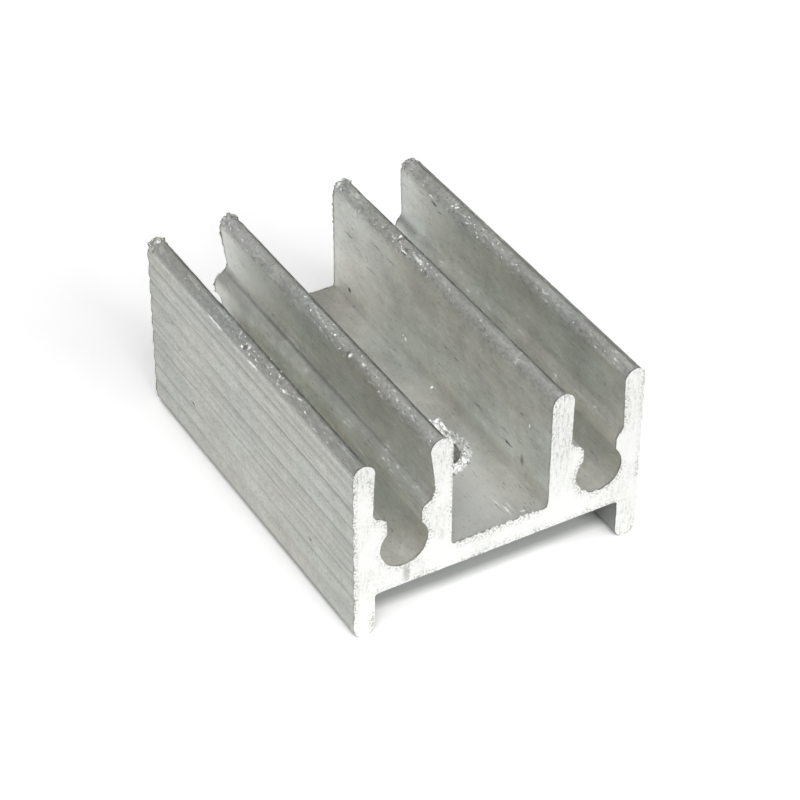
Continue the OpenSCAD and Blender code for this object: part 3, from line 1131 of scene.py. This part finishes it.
def floor_material():
    """White paper that shows white to the camera and in reflections, keeps its shadow, and has painted shadow
    in its colour well under the web.
    """
    n = Nodes("floor_white")
    deep = deep_shade(n)
    # The glow fades under and beside the part, as light from all round would.
    shade = n.add("ShaderNodeAmbientOcclusion", {"Distance": SHADE_REACH * MM}, samples=SHADE_SAMPLES)
    lit = n.times(n.ramp(shade.outputs["AO"], 0.2, 0.6), n.math("SUBTRACT", 1.0, deep))
    # Painted shadow: the paper's colour darkens well under the web.
    paper = n.add("ShaderNodeBsdfDiffuse", {"Color": n.mix(deep, FLOOR_COLOR, FLOOR_SHADE)}).outputs[0]
    glow = n.add("ShaderNodeEmission", {"Strength": n.times(lit, FLOOR_GLOW)}).outputs[0]
    glowing = n.add("ShaderNodeAddShader", {0: paper, 1: glow}).outputs[0]
    path = n.add("ShaderNodeLightPath").outputs
    seen = n.most(path["Is Camera Ray"], path["Is Glossy Ray"], path["Is Transmission Ray"])
    return n.surface(n.add("ShaderNodeMixShader", {0: seen, 1: paper, 2: glowing}).outputs[0])


def make_floor():
    """A sheet of white paper under the part."""
    mesh = bpy.data.meshes.new("floor")
    corners = [(x * FLOOR_HALF, y * FLOOR_HALF, 0) for x, y in ((-1, -1), (1, -1), (1, 1), (-1, 1))]
    mesh.from_pydata(corners, [], [(0, 1, 2, 3)])
    mesh.materials.append(floor_material())
    floor = bpy.data.objects.new("floor", mesh)
    floor.location.z = -FLOOR_DROP
    bpy.context.collection.objects.link(floor)


# ----------------------------------------------------- lights and camera ----
WORLD_STRENGTH = 0.04
LAMP_DISTANCE = 1.0    # m
LAMP_SIZE = 0.5        # m
LAMPS = (("key", -30, 50, 5.3), ("front", 8, 32, 6.0), ("top", 0, 88, 0.9))   # azimuth, elevation, watts

AIM = (0.240, -0.693, 4.252)   # the point the camera looks at
CAMERA_AZ = -30.40
CAMERA_EL = 37.96
CAMERA_ROLL = 0.41
CAMERA_DISTANCE = 124.1
LENS = 118.4
SENSOR = 36
CLIP = (0.005, 20)     # m


def view_way(azimuth, elevation):
    """Unit vector from the part towards an azimuth and elevation."""
    a, e = math.radians(azimuth), math.radians(elevation)
    return Vector((math.sin(a) * math.cos(e), -math.cos(a) * math.cos(e), math.sin(e)))


def soft_light(name, azimuth, elevation, power):
    """A square area light that faces the part."""
    data = bpy.data.lights.new(name, "AREA")
    data.shape = "SQUARE"
    data.size = LAMP_SIZE
    data.energy = power
    lamp = bpy.data.objects.new(name, data)
    way = view_way(azimuth, elevation)
    lamp.location = way * LAMP_DISTANCE
    lamp.rotation_euler = way.to_track_quat("Z", "Y").to_euler()
    bpy.context.collection.objects.link(lamp)


def make_world():
    """Even white light from all round."""
    world = bpy.data.worlds.new("studio")
    world.use_nodes = True
    background = world.node_tree.nodes["Background"]
    background.inputs["Color"].default_value = (1, 1, 1, 1)
    background.inputs["Strength"].default_value = WORLD_STRENGTH
    bpy.context.scene.world = world


def make_camera():
    """A long lens from the left and above, as the photograph's."""
    data = bpy.data.cameras.new("camera")
    data.sensor_width = SENSOR
    data.lens = LENS
    data.clip_start, data.clip_end = CLIP
    camera = bpy.data.objects.new("camera", data)
    way = view_way(CAMERA_AZ, CAMERA_EL)
    facing = way.to_track_quat("Z", "Y").to_matrix().to_4x4()
    roll = Matrix.Rotation(math.radians(CAMERA_ROLL), 4, "Z")
    camera.matrix_world = Matrix.Translation((Vector(AIM) + way * CAMERA_DISTANCE) * MM) @ (facing @ roll)
    bpy.context.collection.objects.link(camera)
    bpy.context.scene.camera = camera


# ----------------------------------------------------------------- scene ----
body = make_body([MillFinish().finished(), sawn_finish(), torn_finish()])
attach(body, "root")
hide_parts(NODE)

make_floor()
make_world()
for lamp in LAMPS:
    soft_light(*lamp)
make_camera()

scene = bpy.context.scene
scene.view_settings.view_transform = "Standard"
